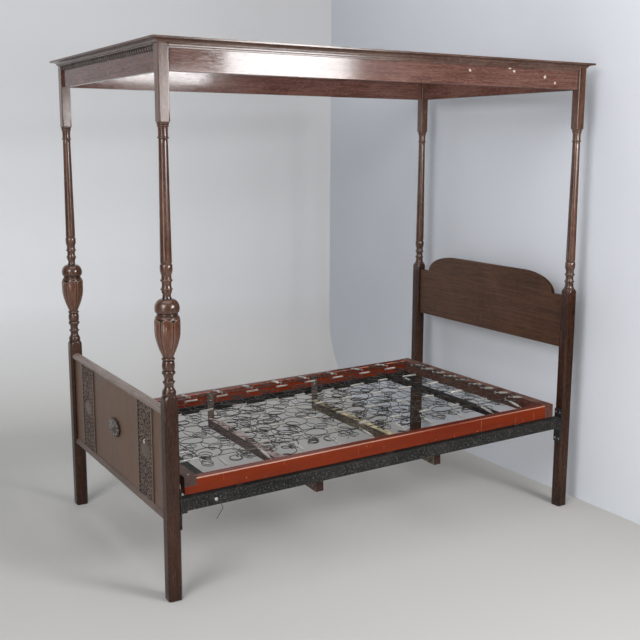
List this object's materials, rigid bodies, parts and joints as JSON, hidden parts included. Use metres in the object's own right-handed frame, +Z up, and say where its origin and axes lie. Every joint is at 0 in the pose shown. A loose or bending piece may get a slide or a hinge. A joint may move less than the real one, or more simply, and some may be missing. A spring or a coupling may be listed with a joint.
{
  "type": "four-poster bedstead",
  "caption": "Carved oak four-poster bedstead with an open tester frame, side irons on corner brackets and a lift-off timber-framed sprung base.",
  "frame": {"origin": "on the floor, under the middle of the bedstead", "axes": "+Z up, +Y from the foot to the head, +X to the right of someone who stands at the foot"},
  "size_m": [1.245, 2.055, 2.0383],
  "materials": {
    "carved_oak": "dark polished",
    "worn_oak": "polish worn pale on the edges",
    "red_painted_timber": "brick-red gloss paint",
    "brown_timber": "bare, dirty",
    "black_iron": "black with rust specks",
    "rusty_steel": "rusty strip",
    "zinc_steel": "zinc plated, dull",
    "black_wire": "black lacquered wire"
  },
  "bodies": {
    "bedstead": {"foot_post_left": "carved_oak", "foot_post_right": "carved_oak", "head_post_left": "carved_oak", "head_post_right": "carved_oak", "foot_panel": "carved_oak", "foot_cap": "worn_oak", "foot_moulding": "worn_oak", "foot_carving_left": "carved_oak", "foot_carving_right": "carved_oak", "rosette": "carved_oak", "headboard": "carved_oak", "post_pins": "zinc_steel", "bracket_foot_left": "black_iron", "bracket_foot_right": "black_iron", "bracket_head_left": "black_iron", "bracket_head_right": "black_iron", "bracket_screws": "zinc_steel"},
    "tester": {"frieze_foot": "carved_oak", "frieze_head": "carved_oak", "frieze_left": "carved_oak", "frieze_right": "carved_oak", "bed_moulding_head": "carved_oak", "bed_moulding_left": "carved_oak", "bed_moulding_right": "carved_oak", "gadroon_strip": "carved_oak", "cornice_foot": "carved_oak", "cornice_head": "carved_oak", "cornice_left": "carved_oak", "cornice_right": "carved_oak"},
    "side_irons": {"side_iron_left": "black_iron", "side_iron_right": "black_iron", "iron_hooks": "black_iron", "cross_iron_foot": "black_iron", "cross_iron_head": "black_iron", "iron_bolts": "zinc_steel"},
    "spring_base": {"base_rail_left": "red_painted_timber", "base_rail_right": "red_painted_timber", "base_bar_foot": "carved_oak", "base_bar_head": "brown_timber", "frame_screws": "zinc_steel", "packers": "black_iron", "hanger_straps": "rusty_steel", "strap_screws": "zinc_steel", "lath_foot": "carved_oak", "lath_head": "carved_oak", "spring_net": "black_wire", "cone_springs_foot": "black_wire", "cone_springs_head": "black_wire", "side_springs": "zinc_steel", "end_springs": "zinc_steel"}
  },
  "joints": [
    {"name": "tester_lift", "type": "slide", "parent": "bedstead", "child": "tester", "axis": [0, 0, 1], "range_m": [0, 0.12]},
    {"name": "irons_lift", "type": "slide", "parent": "bedstead", "child": "side_irons", "axis": [0, 0, 1], "range_m": [0, 0.06]},
    {"name": "base_lift", "type": "slide", "parent": "side_irons", "child": "spring_base", "axis": [0, 0, 1], "range_m": [0, 0.2]}
  ]
}
